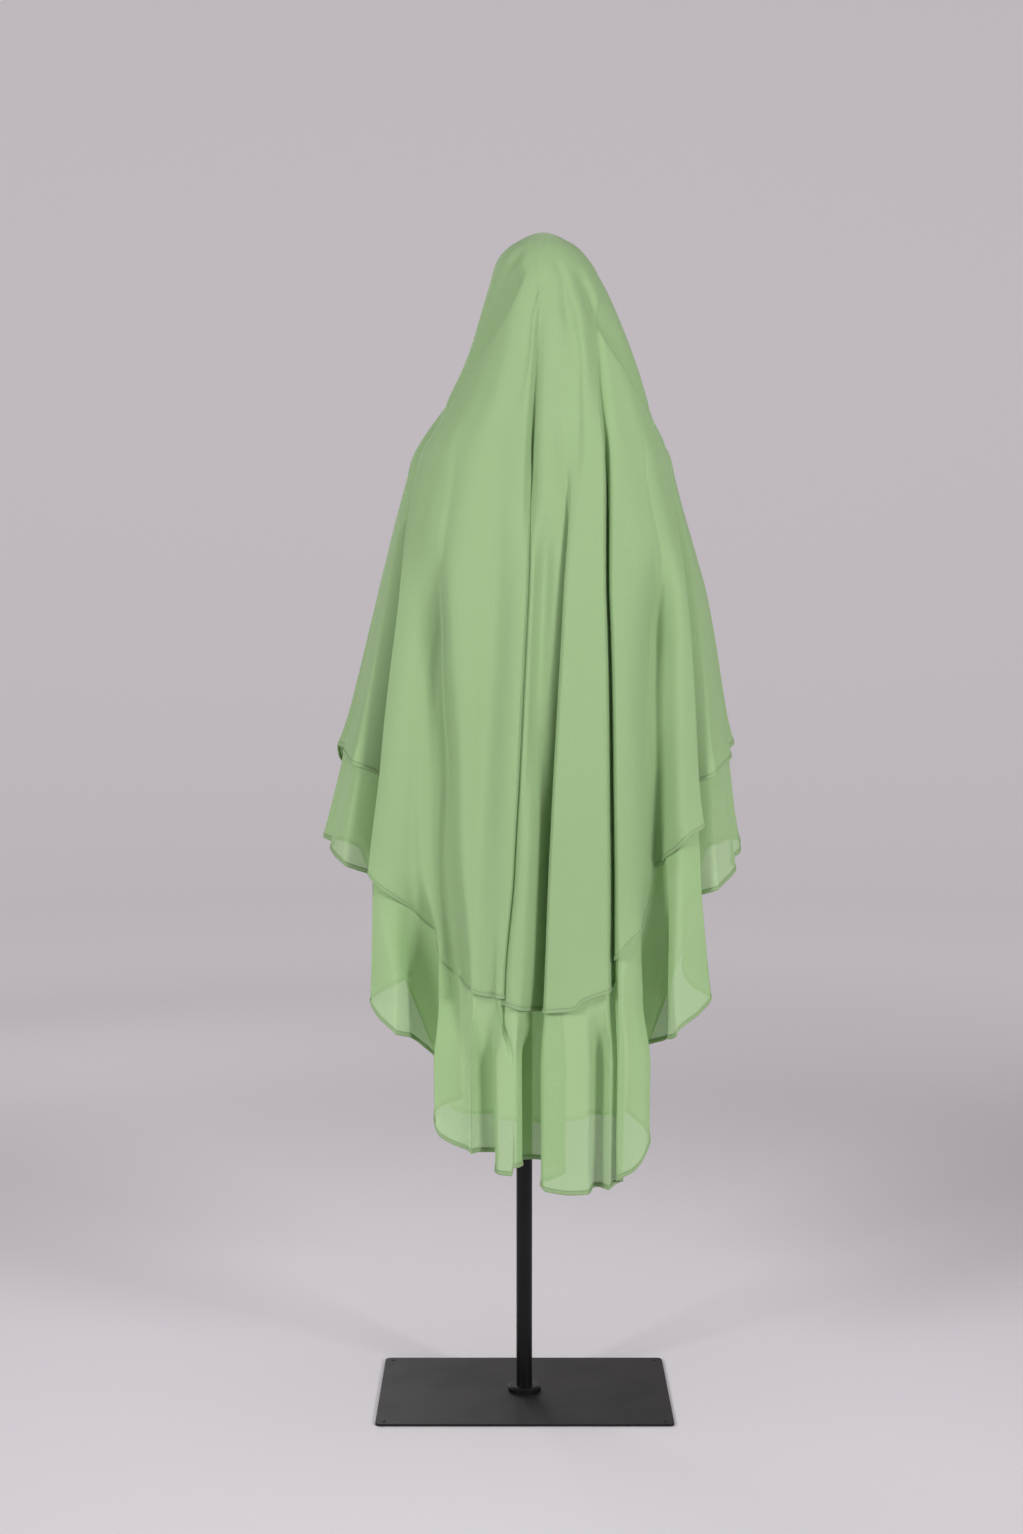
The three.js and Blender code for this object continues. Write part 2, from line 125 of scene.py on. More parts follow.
def noise(wires, place, scale, detail):
    return wires.node("ShaderNodeTexNoise", None, {"Vector": place, "Scale": scale, "Detail": detail})


chiffon = {
    "colour": (174, 201, 152),
    "deeper": (166, 195, 143),
    "through": (160, 216, 122),  # light that comes through the cloth
    "throughShare": 0.25,
    "rough": 0.78,
    "roughSwing": 0.12,
    "gloss": 0.2,
    "sheen": 0.25,
    "sheenRough": 0.45,
    "thread": 0.00062,  # spacing of the threads
    "threadShare": 0.25,
    "grainScale": 420,  # the crinkle of crepe
    "slowScale": 5,  # patches of slightly deeper dye
    "slubStretch": (260, 9, 1),  # long thin threads that took the dye unevenly
    "slubShare": 0.4,
    "bump": 0.35,
    "bumpHeight": 0.0002,
    "openSwing": 0.1,
}

# The running stitch: its length, how far up from the cloth's end it lies, half its thickness, how
# much darker it is, and the part of a wave under which there is a gap between two stitches
stitch = {"length": 0.0032, "up": 0.0041, "thick": 0.00035, "darker": 0.72, "gapUnder": -0.35}


def stitchLine(wires, across, along):
    # 1 on the thread of a running stitch that follows the turned edge, and 0 elsewhere
    beside = wires.maths("ABSOLUTE", along + stitch["up"])
    onLine = wires.maths("LESS_THAN", beside, stitch["thick"])
    pulse = wires.maths("SINE", across * (2 * math.pi / stitch["length"]))
    return onLine * wires.maths("GREATER_THAN", pulse, stitch["gapUnder"])


def makeChiffon(name, openShare, darker=1.0, stitches=False):
    # openShare is how much of what lies behind shows between the threads
    material, wires = newMaterial(name)
    place = wires.node("ShaderNodeUVMap", {"uv_map": "cloth"})
    parts = wires.node("ShaderNodeSeparateXYZ", None, {0: place})
    across = parts
    along = Wire(wires.tree, parts.socket.node.outputs[1])
    turn = 2 * math.pi / chiffon["thread"]
    warp = wires.maths("SINE", across * turn)
    weft = wires.maths("SINE", along * turn)
    grain = noise(wires, place, chiffon["grainScale"], 3)
    crepe = warp * weft * chiffon["threadShare"] + grain
    slow = noise(wires, place, chiffon["slowScale"], 2)
    stretched = wires.node(
        "ShaderNodeVectorMath", {"operation": "MULTIPLY"}, {0: place, 1: chiffon["slubStretch"]}
    )
    slub = noise(wires, stretched, 1, 2)
    tone = slow * (1 - chiffon["slubShare"]) + slub * chiffon["slubShare"]
    # darker is painted light and shade: it makes lighter or darker copies of the one cloth's colours
    shade = [v * darker for v in chiffon["colour"]]
    deeper = [v * darker for v in chiffon["deeper"]]
    colour = mixColour(wires, tone, linear(shade), linear(deeper))
    if stitches:
        seam = stitchLine(wires, across, along)
        colour = mixColour(wires, seam, colour, linear([v * stitch["darker"] for v in shade]))
    bump = wires.node(
        "ShaderNodeBump", None,
        {"Strength": chiffon["bump"], "Distance": chiffon["bumpHeight"], "Height": crepe},
    )
    roughness = grain * chiffon["roughSwing"] + (chiffon["rough"] - chiffon["roughSwing"] / 2)
    cloth = wires.node(
        "ShaderNodeBsdfPrincipled", None,
        {"Base Color": colour, "Roughness": roughness, "Specular IOR Level": chiffon["gloss"],
         "Sheen Weight": chiffon["sheen"], "Sheen Roughness": chiffon["sheenRough"],
         "Normal": bump},
    )
    through = wires.node(
        "ShaderNodeBsdfTranslucent", None,
        {"Color": linear([v * darker for v in chiffon["through"]]), "Normal": bump},
    )
    body = wires.node("ShaderNodeMixShader", None, {0: chiffon["throughShare"], 1: cloth, 2: through})
    clear = wires.node("ShaderNodeBsdfTransparent")
    openness = grain * chiffon["openSwing"] + (openShare - chiffon["openSwing"] / 2)
    woven = wires.node("ShaderNodeMixShader", None, {0: openness, 1: body, 2: clear})
    wires.node("ShaderNodeOutputMaterial", None, {0: woven})
    return material


paint = {
    "plate": {"colour": (24, 23, 24), "rough": 0.5, "peelScale": 700},
    "pole": {"colour": (9, 9, 10), "rough": 0.36, "peelScale": 900},
    "gloss": 0.22,
    "peelBump": 0.25,
    "peelHeight": 0.0003,
    "dustScale": 9,
    "dustShare": 0.5,
    "dustPaler": 12,
    "dustRougher": 0.12,
}


def makePaint(name, coating):
    # Powder coat on steel: a fine orange peel, and dust that lightens it in patches
    material, wires = newMaterial(name)
    place = wires.node("ShaderNodeTexCoord", None, None, 3)
    peel = noise(wires, place, coating["peelScale"], 2)
    dust = noise(wires, place, paint["dustScale"], 6)
    dusty = wires.node("ShaderNodeValToRGB", {"stops": [(0.45, 0.0), (0.75, 1.0)]}, {0: dust})
    paler = linear([v + paint["dustPaler"] for v in coating["colour"]])
    tone = mixColour(wires, dusty * paint["dustShare"], linear(coating["colour"]), paler)
    bump = wires.node(
        "ShaderNodeBump", None,
        {"Strength": paint["peelBump"], "Distance": paint["peelHeight"], "Height": peel},
    )
    coat = wires.node(
        "ShaderNodeBsdfPrincipled", None,
        {"Base Color": tone, "Roughness": dusty * paint["dustRougher"] + coating["rough"],
         "Specular IOR Level": paint["gloss"], "Normal": bump},
    )
    wires.node("ShaderNodeOutputMaterial", None, {0: coat})
    return material


# The form that the cloth hangs over
crownHeight = 1.813
crownOffset = 0.028  # the head's middle, to the right of the pole
head = {"halfWidth": 0.086, "halfDepth": 0.097, "drop": 0.198}
shoulders = {"halfWidth": 0.208, "halfDepth": 0.136, "drop": 0.378}
skirt = {"halfWidth": 0.321, "halfDepth": 0.189, "drop": 0.956}

# Sections from the crown down: the group whose sizes each follows, then its drop, its left,
# right, back and front reach as shares of that group, and how boxy it is
sections = [
    ("crown", head, 0.086, 0.51, 0.51, 0.485, 0.495, 0),
    ("dome", head, 0.222, 0.826, 0.826, 0.784, 0.784, 0),
    ("temple", head, 0.45, 0.988, 1.128, 1.01, 0.99, 0),
    ("jaw", head, 1, 1.395, 1.663, 1.155, 1.072, 0),
    ("neck", shoulders, 0.735, 0.779, 0.827, 0.926, 0.824, 0.02),
    ("slope", shoulders, 0.905, 0.966, 0.947, 1.007, 0.897, 0.04),
    ("corner", shoulders, 1, 1.014, 0.986, 1.051, 0.956, 0.06),
    ("elbow", skirt, 0.593, 0.798, 0.81, 0.873, 0.847, 0.1),
    ("forearm", skirt, 0.836, 0.966, 0.916, 0.963, 0.942, 0.12),
    ("widest", skirt, 1, 1.053, 0.957, 1.016, 0.984, 0.12),
    ("knee", skirt, 1.22, 1.003, 0.972, 1.074, 1.037, 0.1),
    ("calf", skirt, 1.496, 0.953, 0.953, 1.122, 1.069, 0.1),
    ("end", skirt, 1.7, 0.93, 0.93, 1.15, 1.09, 0.1),
]


def curveThrough(xs, ys):
    # Smooth curve that never overshoots between two rows. ys may hold a value per vertex.
    xs = np.asarray(xs, float)
    ys = np.asarray(ys, float)
    steps = np.diff(xs).reshape((-1,) + (1,) * (ys.ndim - 1))
    slopes = np.diff(ys, axis=0) / steps
    before, after = slopes[:-1], slopes[1:]
    same = before * after > 0
    middle = np.where(same, 2 * before * after / np.where(same, before + after, 1), 0)
    tangents = np.concatenate([slopes[:1], middle, slopes[-1:]])

    def pick(values, i):
        return values[i] if ys.ndim == 1 else np.take_along_axis(values, i[None], 0)[0]

    def at(x):
        x = np.asarray(x, float)
        i = np.clip(np.searchsorted(xs, x, side="right") - 1, 0, len(xs) - 2)
        step = xs[i + 1] - xs[i]
        u = (x - xs[i]) / step
        ease = u * u * (3 - 2 * u)
        bend = pick(tangents, i) * (1 - u) - pick(tangents, i + 1) * u
        inside = pick(ys, i) * (1 - ease) + pick(ys, i + 1) * ease + step * u * (1 - u) * bend
        low = ys[0] + (x - xs[0]) * tangents[0]
        high = ys[-1] + (x - xs[-1]) * tangents[-1]
        return np.where(x <= xs[0], low, np.where(x >= xs[-1], high, inside))

    return at


def sizeSections():
    # Real sizes of the sections, each with its length of cloth from the crown's top
    rows = []
    along = lastReach = lastDrop = 0.0
    for name, group, drop, left, right, back, front, square in sections:
        sides = [left * group["halfWidth"], right * group["halfWidth"],
                 back * group["halfDepth"], front * group["halfDepth"]]
        drop *= group["drop"]
        reach = sum(sides) / 4
        along += math.hypot(reach - lastReach, drop - lastDrop)
        lastReach, lastDrop = reach, drop
        rows.append(dict(zip(
            ("name", "along", "drop", "left", "right", "back", "front", "square"),
            (name, along, drop, *sides, square),
        )))
    return rows


sized = sizeSections()
alongs = [row["along"] for row in sized]
alongOf = {row["name"]: row["along"] for row in sized}
cornerAlong = alongOf["corner"]


def formCurve(key, mirror):
    # One size of the form by the length of cloth from the crown's top. The first section is
    # repeated on the far side of the top, so that the crown is round.
    first = sized[0]
    values = [row[key] for row in sized]
    return curveThrough([-first["along"], 0, *alongs], [mirror * first[key], 0, *values])


form = {key: formCurve(key, -1) for key in ("left", "right", "back", "front")}
form["drop"] = formCurve("drop", 1)
form["square"] = formCurve("square", 1)
alongAtDrop = curveThrough([0] + [row["drop"] for row in sized], [0] + alongs)


def formPoint(azimuth, along):
    # Point of the smooth form: x, y and z in the last axis. Azimuth 0 is the middle of the back.
    sine, cosine = np.sin(np.radians(azimuth)), np.cos(np.radians(azimuth))
    square = form["square"](along)
    side = np.where(sine < 0, form["left"](along), form["right"](along))
    deep = np.where(cosine > 0, form["back"](along), form["front"](along))
    x = crownOffset + side * sine * (1 + square * cosine ** 2)
    y = -deep * cosine * (1 + square * sine ** 2)
    return np.stack([x, y, crownHeight - form["drop"](along)], -1)


def bell(across):
    # 1 in the middle and 0 from -1 and 1 outwards
    return np.where(np.abs(across) < 1, (1 + np.cos(np.pi * np.clip(across, -1, 1))) / 2, 0)


def rise(value, start, end):
    # 0 up to start and 1 from end on, smoothly between
    share = np.clip((value - start) / (end - start), 0, 1)
    return share * share * (3 - 2 * share)


# Drops at which the fold table speaks: jaw, elbow, widest, the outer hem and the inner hem
foldDrops = [0.198, 0.567, 0.956, 1.15, 1.25]

# Hanging folds in order round the form. side is 1 where the left lip is carried over the fold and
# -1 where the right lip is, and edges are the azimuths where that lip shows, in degrees, at the
# five drops. over and under are how far the lip runs over the fold and the cloth back under it,
# slope how wide the fold's open side is, all in degrees, and depths are in mm at the five drops.
# Where side is 0 the fold is an even hollow: edges are its middle and slope its half width.
foldNames = ("name", "side", "edges", "over", "under", "slope", "fall", "depths")
foldRows = [
    ("frontLeft", 0, (-160, -160, -160, -160, -160), 0, 0, 9, 0, (0, 9, 20, 22, 22)),
    ("chestLeft", 0, (-134, -134, -134, -134, -134), 0, 0, 9, 0, (0, 11, 22, 22, 22)),
    ("armLeft", 0, (-112, -109, -108, -108, -108), 0, 0, 9, 0, (0, 9, 20, 19, 18)),
    ("sleeveLeft", 0, (-92, -86, -80, -79, -77), 0, 0, 8, 0, (0, 6, 10, 13, 13)),
    ("panelLeft", -1, (-75, -58, -47.3, -51, -51.5), 4.2, 7, 17, 0.3, (0, 58, 72, 64, 46)),
    ("wingLeft", 1, (-50, -47, -38, -37.5, -38), 2.2, 5, 8, 0.3, (0, 0, 8, 60, 64)),
    ("mainLeft", -1, (-41, -39, -30, -28.5, -29.5), 2.2, 5, 8, 0.3, (0, 0, 8, 50, 60)),
    ("flareLeft", -1, (-36, -34, -24.5, -21, -20), 1.0, 2, 7, 0.2, (0, 4, 8, 15, 6)),
    ("softLeft", 0, (-16, -16, -15, -15.5, -16.5), 0, 0, 4.5, 0, (0, 4, 8, 8, 22)),
    ("tubeLeft", -1, (-12, -12, -11.5, -12, -12.8), 1.0, 2.5, 4, 0.3, (0, 0, 0, 3, 20)),
    ("spineLeft", 1, (-4.5, -5.5, -6.4, -8.6, -8), 2.8, 6, 3.8, 0.25, (3, 42, 50, 31, 0)),
    ("spineInner", 1, (1, 0, -2.6, -4.4, -5.4), 1.6, 3, 4, 0.5, (0, 0, 3, 8, 34)),
    ("spineRight", -1, (15.5, 5.4, 0.8, -0.1, 0.6), 2.6, 5.5, 7.5, 0.3, (4, 20, 50, 38, 31)),
    ("tubeRight", 0, (27, 16, 13.6, 13.6, 14.4), 0, 0, 3.2, 0, (0, 0, 0, 2, 30)),
    ("panelRight", -1, (33, 20.7, 17.8, 17.3, 17.7), 3, 6, 5, 0.4, (3, 46, 58, 50, 22)),
    ("mainRight", 1, (46, 41, 28.5, 26.8, 29.6), 2.0, 4.5, 7, 0.3, (0, 0, 6, 46, 52)),
    ("wingRight", -1, (50, 46, 35.2, 36.4, 36), 2.6, 6, 10.5, 0.25, (0, 3, 16, 58, 58)),
    ("sideRight", 1, (82, 55, 47.8, 51.5, 52), 2.0, 5, 9, 0.3, (0, 14, 30, 44, 46)),
    ("sleeveRight", 0, (93, 80, 76, 75, 75), 0, 0, 8, 0, (0, 5, 9, 12, 12)),
    ("armRight", 0, (112, 107, 106, 106, 106), 0, 0, 9, 0, (0, 9, 20, 19, 18)),
    ("chestRight", 0, (134, 134, 134, 134, 134), 0, 0, 9, 0, (0, 11, 22, 22, 22)),
    ("frontRight", 0, (160, 160, 160, 160, 160), 0, 0, 9, 0, (0, 9, 20, 22, 22)),
]
folds = [dict(zip(foldNames, row)) for row in foldRows]
lip = {
    "run": 1.6,  # how far before its edge the cloth starts to be carried over, in overs
    "turn": 0.8,  # half the width of a full fold's edge, in degrees
    "softer": 3.2,  # how much wider the edge of a shallow fold is
    "widest": 0.45,  # the widest that an edge may be, as a share of the fold's slope
    "crest": 0.3,  # where the carried cloth turns back, in turns before the edge
    "bottom": 1.5,  # where it has dropped under, in turns after the edge
    "sunk": 1.4,  # where the fold has its whole depth, in turns after the edge
    "fromDepth": 5,  # in mm, where a lip begins to lean over
    "fullDepth": 26,  # and where it leans over fully
}
foldAlongs = list(alongAtDrop(np.array(foldDrops)))
steadyAlongs = [foldAlongs[0] - 0.06, *foldAlongs, foldAlongs[-1] + 0.06]


def held(values):
    # The table's values with the first and last ones held, for steadyAlongs
    return [values[0], *values, values[-1]]


for fold in folds:
    # The column of a lip runs where its lean then carries it to the edge that shows
    fold["full"] = [float(rise(deep, lip["fromDepth"], lip["fullDepth"])) for deep in fold["depths"]]
    fold["places"] = [e - fold["side"] * fold["over"] * f for e, f in zip(fold["edges"], fold["full"])]
    fold["at"] = fold["places"][2]
paths = [
    curveThrough([-180] + [fold["at"] for fold in folds] + [180],
                 [-180] + [fold["places"][k] for fold in folds] + [180])
    for k in range(len(foldDrops))
]


def azimuthOf(column, along):
    azimuths = np.stack(held([path(column) for path in paths]))
    return curveThrough(steadyAlongs, azimuths)(np.clip(along, steadyAlongs[0], steadyAlongs[-1]))


def fromCrown(values, reach):
    # A fold's values from nothing at the crown's top, through the table and held below it
    return curveThrough([0, *steadyAlongs[1:]], [0, *held(values)[1:]])(reach)


def foldAt(column, along):
    # Depth of the folds at a place in metres, and how far their lips lean over them in degrees
    depth = np.zeros_like(column)
    lean = np.zeros_like(column)
    reach = np.minimum(along, steadyAlongs[-1])
    for fold in folds:
        deep = np.maximum(0, fromCrown(fold["depths"], reach))
        if fold["side"] == 0:
            depth += deep / 1000 * bell((column - fold["at"]) / fold["slope"])
            continue
        away = (column - fold["at"]) * fold["side"]
        full = np.clip(fromCrown(fold["full"], reach), 0, 1)
        over, under, slope = fold["over"], fold["under"], fold["slope"]
        turn = np.minimum(lip["turn"] * (1 + lip["softer"] * (1 - full)), slope * lip["widest"])
        crest = -turn * lip["crest"]
        bottom = turn * lip["bottom"]
        sunk = rise(away, -turn, turn * lip["sunk"]) * (1 - rise(away, slope * fold["fall"], slope))
        depth += deep / 1000 * sunk
        carried = over * rise(away, -over * lip["run"] - turn, crest)
        dropped = under * rise(away, crest, bottom) * (1 - rise(away, bottom, slope))
        fallen = over * rise(away, bottom, slope)
        lean += fold["side"] * full * (carried - dropped - fallen)
    return depth, lean


# Pulled lines in the cloth: places as (azimuth, drop in mm), the depth in mm, the widths in mm
# of its left and right side, and the share of its length over which it fades at either end.
# A line with one narrow side reads as an edge.
pulls = [
    ("leftTemple",
     [(-24, 72), (-41, 134), (-56, 190), (-65, 242), (-72, 330), (-74, 400)],
     15, 34, 5, 0.12),
    ("leftBrow", [(-30, 42), (-46, 73), (-56, 103)], 7, 16, 6, 0.2),
    ("browCrease", [(-27, 58), (-44, 100), (-58, 150), (-66, 190)], 6, 10, 5, 0.2),
    ("rightTemple", [(47, 129), (51, 162), (65, 227), (78, 296), (88, 341)], 14, 9, 34, 0.14),
    ("rightNape", [(39, 70), (42, 104), (42, 134), (38, 175), (34, 231)], 9, 15, 6, 0.2),
    ("napeStreak", [(0.3, 85), (-9, 111), (-12, 140), (-13, 200)], 3.5, 9, 5, 0.2),
    ("spineStreak", [(-1, 111), (-4, 137), (-5, 185), (-5.8, 270), (-5.8, 420)], 9, 4.5, 15, 0.12),
    ("crownStreak", [(16.6, 61), (20, 84), (19, 110)], 3, 8, 5, 0.2),
    ("neckStreak", [(19, 107), (22, 140), (21.6, 188), (19.3, 233), (15, 330)], 7, 14, 5, 0.15),
    ("softPanel",
     [(-43, 470), (-36, 600), (-27.4, 796), (-24, 950), (-22, 1091), (-21, 1200)],
     32, 54, 17, 0.22),
    ("thinCrease", [(-39.5, 520), (-31, 700), (-25.5, 830), (-25, 930), (-24, 1040)], 3, 7, 4, 0.3),
    ("softMiddle", [(-17, 420), (-14.5, 560), (-14, 760), (-14, 1001)], 10, 24, 18, 0.35),
    ("betweenSpines", [(1, 420), (-0.6, 560), (-1.6, 720), (-2, 860)], 22, 13, 12, 0.25),
    ("rightCrease", [(42, 480), (38, 590), (32.5, 700), (30, 800)], 3, 7, 4, 0.3),
    ("rightHollow",
     [(46, 480), (40, 620), (36.5, 708), (34.5, 850), (33.6, 960), (33, 1060)],
     36, 34, 14, 0.25),
]


pullEnds = {"before": 0.02, "after": 0.1}  # how far past its first and last place a line fades


def pullDepth(azimuth, along):
    depth = np.zeros_like(azimuth)
    reach = (form["left"](along) + form["right"](along) + form["back"](along)) / 3
    for name, places, deep, left, right, fade in pulls:
        drops = np.array([drop / 1000 for _, drop in places])
        lengths = alongAtDrop(drops)
        middle = curveThrough(lengths, [turn for turn, _ in places])(along)
        end = fade * (lengths[-1] - lengths[0])
        shown = rise(along, lengths[0] - pullEnds["before"], lengths[0] + end)
        shown = shown * (1 - rise(along, lengths[-1] - end, lengths[-1] + pullEnds["after"]))
        away = np.radians(azimuth - middle) * reach * 1000
        width = np.where(away < 0, left, right)
        depth += deep / 1000 * np.exp(-((away / width) ** 2)) * shown
    return depth


# Waves of slow unevenness: how many there are round the form, how fast they turn on the way down,
# where they start, and their size
waves = [
    (3, 4.1, 0.4, 0.0016), (7, 2.3, 1.9, 0.0012), (13, 3.1, 4.2, 0.0009), (22, 1.7, 2.6, 0.0006),
]
wavesFull = 0.5  # the length of cloth over which they come in


def waver(azimuth, along):
    # The unevenness that no hanging cloth is without
    turn = np.radians(azimuth)
    total = sum(size * np.sin(count * turn + pace * along + start) for count, pace, start, size in waves)
    return total * np.clip(along / wavesFull, 0, 1)


# The face opening: the cloth's length from the crown to its upper edge, and its own two sizes
opening = {"forehead": 0.15, "length": 0.21, "spread": 0.34}

# Places of the two hems: (azimuth, drop) in order, or (fold, drop on its left, drop on its right)
hemPlaces = {
    "outer": [
        (-180, 1084), ("frontLeft", 1084, 1061), ("chestLeft", 1003, 944), ("armLeft", 851, 805),
        (-90, 776), (-61, 800), ("panelLeft", 832, 950), (-45.7, 979), (-36, 1011),
        ("mainLeft", 1042, 1066), (-25.8, 1089), ("flareLeft", 1106, 1120), (-15, 1133),
        ("spineLeft", 1136, 1142), (-5.1, 1154), ("spineRight", 1160, 1157), (7.2, 1154),
        (9, 1143), ("panelRight", 1120, 1084), (22, 1062), ("mainRight", 1030, 1000), (31, 970),
        ("wingRight", 955, 935), (40, 908), ("sideRight", 884, 836), (52.2, 822), (76.9, 781),
        (90, 768), ("armRight", 781, 828), ("chestRight", 944, 1003), ("frontRight", 1061, 1084),
        (180, 1084),
    ],
    "inner": [
        (-180, 1418), (-167, 1410), ("frontLeft", 1400, 1390), (-152, 1345), (-147, 1268),
        (-142, 1205), (-137, 1165), (-133, 1120), (-129, 1000), (-124, 948), ("armLeft", 935, 925),
        (-90, 918), (-63, 942), ("panelLeft", 985, 1140), (-48, 1160), ("wingLeft", 1204, 1256),
        ("mainLeft", 1285, 1308), (-25, 1346), (-21.5, 1360), ("tubeLeft", 1373, 1394), (-9, 1398),
        ("spineLeft", 1399, 1386), ("spineRight", 1388, 1412), (4.4, 1422), (7.6, 1428),
        (13, 1426), ("panelRight", 1420, 1410), (24, 1398), ("mainRight", 1342, 1262),
        ("wingRight", 1234, 1206), (40.7, 1188), ("sideRight", 1140, 998), (58.8, 977),
        (76, 949), (90, 930), ("armRight", 925, 935), (124, 948), (129, 1000), (133, 1120),
        (137, 1165), (142, 1205), (147, 1268), (152, 1345), ("frontRight", 1390, 1400),
        (167, 1410), (180, 1418),
    ],
}


# Where a hem has the drops that are given for a fold: beside a lip and on its slope, or on either
# side of an even hollow, as shares of the slope
hemBeside = {"lip": 0.45, "hollow": 0.7, "least": 0.15}


def hemCurve(layer):
    # Length of cloth from the shoulder corner to a layer's hem, by column
    fine = np.linspace(-180, 180, 3601)
    named = {fold["name"]: fold for fold in folds}
    columns, lengths = [], []
    for place, *drops in hemPlaces[layer]:
        reach = [float(alongAtDrop(drop / 1000)) for drop in drops]
        if place in named:
            fold = named[place]
            if fold["side"]:
                ends = [0, fold["side"] * fold["slope"] * hemBeside["lip"]]
            else:
                ends = [-fold["slope"] * hemBeside["hollow"], fold["slope"] * hemBeside["hollow"]]
            columns += [fold["at"] + end for end in sorted(ends)]
        else:
            azimuths = azimuthOf(fine, np.full_like(fine, reach[0]))
            columns.append(float(np.interp(place, azimuths, fine)))
        lengths += reach
    kept = [0]
    for i in range(1, len(columns)):
        if columns[i] > columns[kept[-1]] + hemBeside["least"]:
            kept.append(i)
    return curveThrough([columns[i] for i in kept], [lengths[i] - cornerAlong for i in kept])


hemAt = {"outer": hemCurve("outer"), "inner": hemCurve("inner")}


def onDisc(azimuth, along):
    # The cloth above the shoulders, laid out flat as a disc about the crown's top
    turn = np.radians(azimuth)
    return np.stack([along * np.sin(turn), -along * np.cos(turn)], -1)


def openingEdge(azimuth):
    # The face opening's edge on that disc
    turn = np.radians(azimuth)
    middle = opening["forehead"] + opening["length"] / 2
    across = opening["spread"] / 2 * np.sin(turn)
    return np.stack([across, middle - opening["length"] / 2 * np.cos(turn)], -1)


def placeAbove(column, share):
    # Azimuth and length from the crown of a place between the face opening and the shoulders
    azimuth = azimuthOf(column, np.full_like(column, cornerAlong))
    edge = openingEdge(azimuth)
    place = edge + (onDisc(azimuth, np.full_like(column, cornerAlong)) - edge) * share[..., None]
    return np.degrees(np.arctan2(place[..., 0], -place[..., 1])), np.hypot(place[..., 0], place[..., 1])


# How far each hem kicks outwards between its folds, over what length of cloth, and how much less
# it does inside a fold: not at all from a depth of inFold on, and back inwards deeper down
flare = {"outer": 0.008, "inner": 0.006, "reach": 0.035, "inFold": 0.02, "mostBack": -0.5}
near = {"azimuth": 0.5, "along": 0.001}  # steps between which the form's direction is measured


def drape(column, row, layer):
    # Points of the draped cloth. row is a share above the shoulder corner, or 1 plus a length below.
    above = row < 1
    share = np.minimum(row, 1)
    along = np.where(above, placeAbove(column, share)[1], cornerAlong + row - 1)
    depth, lean = foldAt(column, along)
    leaning = column + lean
    azimuthAbove, alongAbove = placeAbove(leaning, share)
    azimuth = np.where(above, azimuthAbove, azimuthOf(leaning, along))
    along = np.where(above, alongAbove, along)
    depth = depth + pullDepth(azimuth, along) + waver(azimuth, along)
    hem = hemAt[layer](column)
    toHem = np.maximum(0, hem - (row - 1))
    kick = np.clip(1 - depth / flare["inFold"], flare["mostBack"], 1)
    depth = depth - flare[layer] * np.exp(-toHem / flare["reach"]) * kick
    point = formPoint(azimuth, along)
    around = formPoint(azimuth + near["azimuth"], along) - formPoint(azimuth - near["azimuth"], along)
    down = formPoint(azimuth, along + near["along"]) - formPoint(azimuth, along - near["along"])
    inward = np.cross(around, down)
    inward /= np.linalg.norm(inward, axis=-1, keepdims=True)
    return point + inward * depth[..., None]


clothMesh = {
    "columns": 640,
    "headRows": 66,
    "bodyRows": 84,
    "rowCrowding": 1.15,  # how much closer the rows are towards the hem
    "backTo": 96,  # the azimuth up to which the back's full number of columns goes on
    "frontShare": 0.42,
    "lipWeight": 2.6,  # more columns at a fold's lip, and how far they reach in degrees
    "lipMiddle": 0.5,
    "lipReach": 3.2,
    "slopeWeight": 0.7,
    "turnLength": 0.3,  # the cloth's length for a radian of column, in its UV map
    "innerGap": 0.0024,
    "hemWidth": 0.0087,
}


def spreadColumns(count):
    # Columns all the way round, closer together on the back and closest in the folds
    fine = np.linspace(-180, 180, 7201)
    weight = np.where(np.abs(fine) < clothMesh["backTo"], 1.0, clothMesh["frontShare"])
    for fold in folds:
        if fold["side"]:
            away = (fine - fold["at"]) * fold["side"]
            atLip = bell((away - clothMesh["lipMiddle"]) / clothMesh["lipReach"])
            onSlope = bell((away - fold["slope"] / 2) / fold["slope"])
            weight += clothMesh["lipWeight"] * atLip + clothMesh["slopeWeight"] * onSlope
    total = np.concatenate([[0], np.cumsum((weight[1:] + weight[:-1]) / 2)])
    return np.interp(np.linspace(0, total[-1], count + 1), total, fine)


def gridRows(headRows, bodyRows):
    # Shares down the cloth: 0 to 1 above the shoulder corner, 1 to 2 from there to the hem
    below = np.linspace(0, 1, bodyRows + 1)[1:]
    below = 1 - (1 - below) ** clothMesh["rowCrowding"]
    return np.concatenate([np.linspace(0, 1, headRows, endpoint=False), [1], 1 + below])


def normalsOf(points):
    # Outward directions of a grid of points, whose first and last column are the same place
    looped = np.concatenate([points[:, -2:-1], points, points[:, 1:2]], axis=1)
    around = looped[:, 2:] - looped[:, :-2]
    down = np.gradient(points, axis=0)
    outward = np.cross(down, around)
    return outward / np.maximum(np.linalg.norm(outward, axis=-1, keepdims=True), 1e-12)


